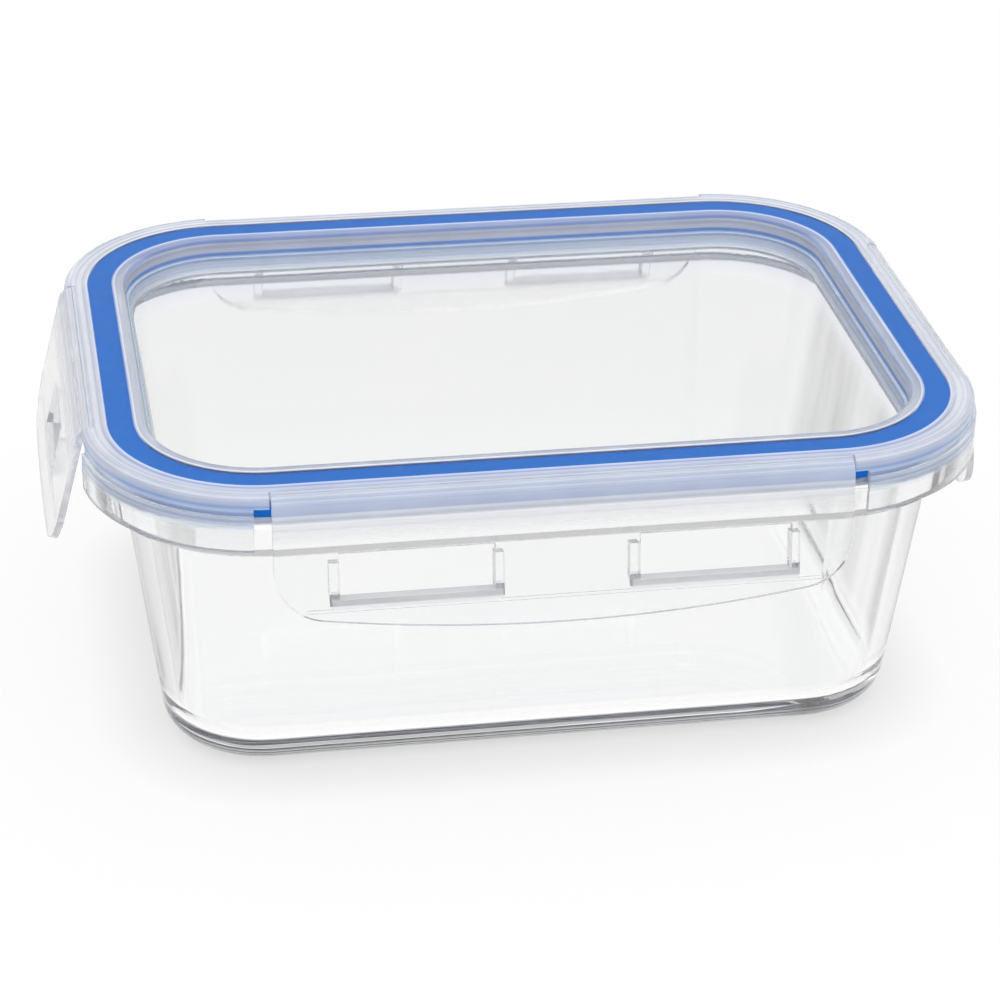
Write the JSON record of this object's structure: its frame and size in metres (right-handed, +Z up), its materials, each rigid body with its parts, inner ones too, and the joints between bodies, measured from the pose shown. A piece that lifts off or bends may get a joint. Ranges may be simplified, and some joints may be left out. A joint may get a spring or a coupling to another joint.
{
  "type": "lunch box",
  "caption": "Rectangular glass lunch box with leaning walls and a clear snap-lock lid: sunken panel, blue seal ring and a hinged latch flap on every side.",
  "frame": {"origin": "centre of the tub's flat underside, on the table", "axes": "+X along the long side to the right, -Y towards the front flap, +Z up"},
  "size_m": [0.2172, 0.1656, 0.0785],
  "materials": {
    "clear_glass": "clear pressed glass, smooth",
    "clear_plastic": "clear moulded polypropylene, smooth",
    "blue_silicone": "matt moulded silicone"
  },
  "bodies": {
    "base": {"glass_tub": "clear_glass"},
    "lid_body": {"lid": "clear_plastic", "seal": "blue_silicone", "front_hinge_web": "clear_plastic", "right_hinge_web": "clear_plastic", "rear_hinge_web": "clear_plastic", "left_hinge_web": "clear_plastic"},
    "front_flap_body": {"front_flap": "clear_plastic"},
    "right_flap_body": {"right_flap": "clear_plastic"},
    "rear_flap_body": {"rear_flap": "clear_plastic"},
    "left_flap_body": {"left_flap": "clear_plastic"}
  },
  "joints": [
    {"name": "lid_lift", "type": "slide", "parent": "base", "child": "lid_body", "axis": [0, 0, 1], "range_m": [0, 0.1]},
    {"name": "front_flap_hinge", "type": "hinge", "parent": "lid_body", "child": "front_flap_body", "pos_m": [0, -0.07435, 0.078], "axis": [-1, 0, 0], "range_deg": [-10, 110]},
    {"name": "right_flap_hinge", "type": "hinge", "parent": "lid_body", "child": "right_flap_body", "pos_m": [0.0997, 0, 0.078], "axis": [0, -1, 0], "range_deg": [-7, 113]},
    {"name": "rear_flap_hinge", "type": "hinge", "parent": "lid_body", "child": "rear_flap_body", "pos_m": [0, 0.07435, 0.078], "axis": [1, 0, 0], "range_deg": [-10, 110]},
    {"name": "left_flap_hinge", "type": "hinge", "parent": "lid_body", "child": "left_flap_body", "pos_m": [-0.0997, 0, 0.078], "axis": [0, 1, 0], "range_deg": [-14, 106]}
  ]
}
